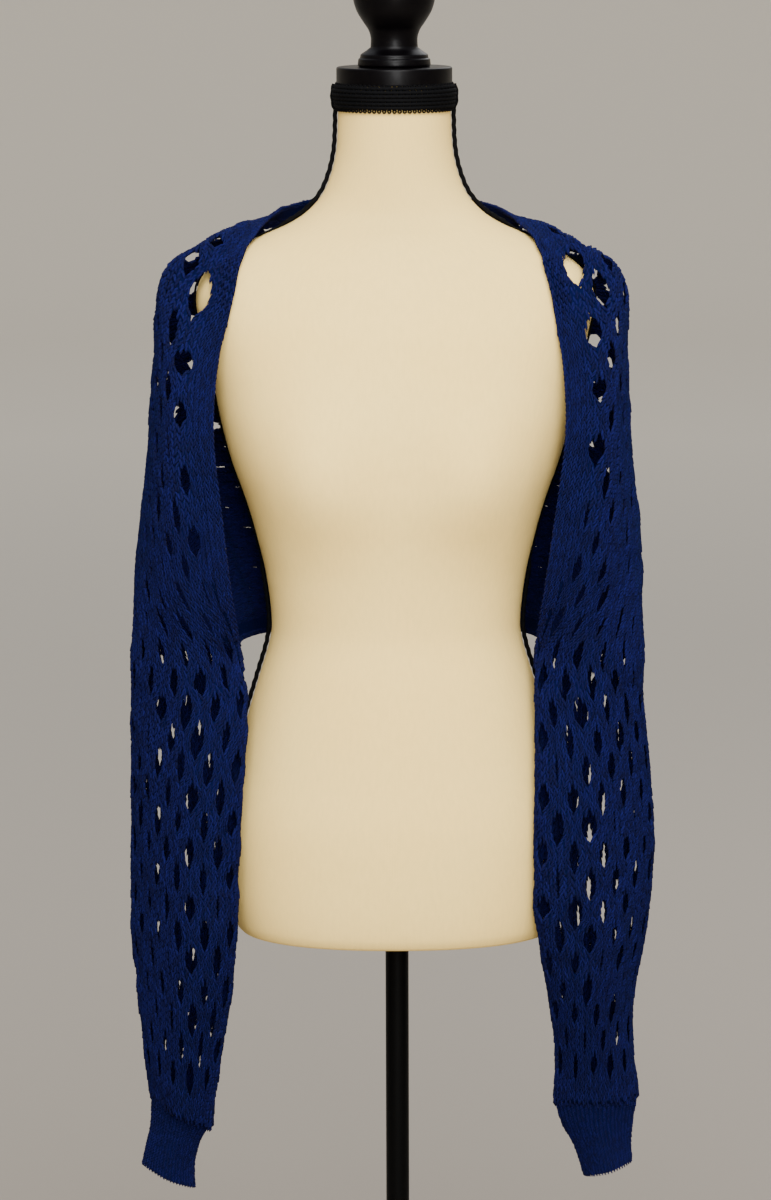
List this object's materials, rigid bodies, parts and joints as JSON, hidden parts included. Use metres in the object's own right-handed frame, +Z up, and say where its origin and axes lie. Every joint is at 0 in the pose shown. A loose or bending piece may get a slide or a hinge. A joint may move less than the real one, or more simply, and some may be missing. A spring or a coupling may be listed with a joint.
{
  "type": "openwork knitted shrug on a limbless dress form with a stand",
  "caption": "Long-sleeved openwork knitted shrug, worn open on a limbless cream dress form with a turned neck cap, pole and round base.",
  "frame": {"origin": "middle of the base's flat underside, on the floor below the pole", "axes": "+Z up along the pole, +X to the right as the form is seen from its front, +Y from the front of the form to its back"},
  "size_m": [0.4555, 0.34, 1.5868],
  "materials": {
    "yarn": "matte",
    "jersey": "matte",
    "braid": "matte",
    "lacquered_wood": "satin",
    "painted_steel": "satin"
  },
  "bodies": {
    "root": {"back_panel": "yarn", "sleeve_left_front": "yarn", "sleeve_left_back": "yarn", "sleeve_right_front": "yarn", "sleeve_right_back": "yarn", "band_neck": "yarn", "band_hem": "yarn", "cuff_left": "yarn", "cuff_right": "yarn", "form_torso": "jersey", "neck_trim": "braid", "piping_left": "braid", "piping_right": "braid", "neck_cap": "lacquered_wood", "neck_finial": "lacquered_wood", "stand_pole": "painted_steel", "stand_base": "painted_steel"}
  },
  "joints": []
}
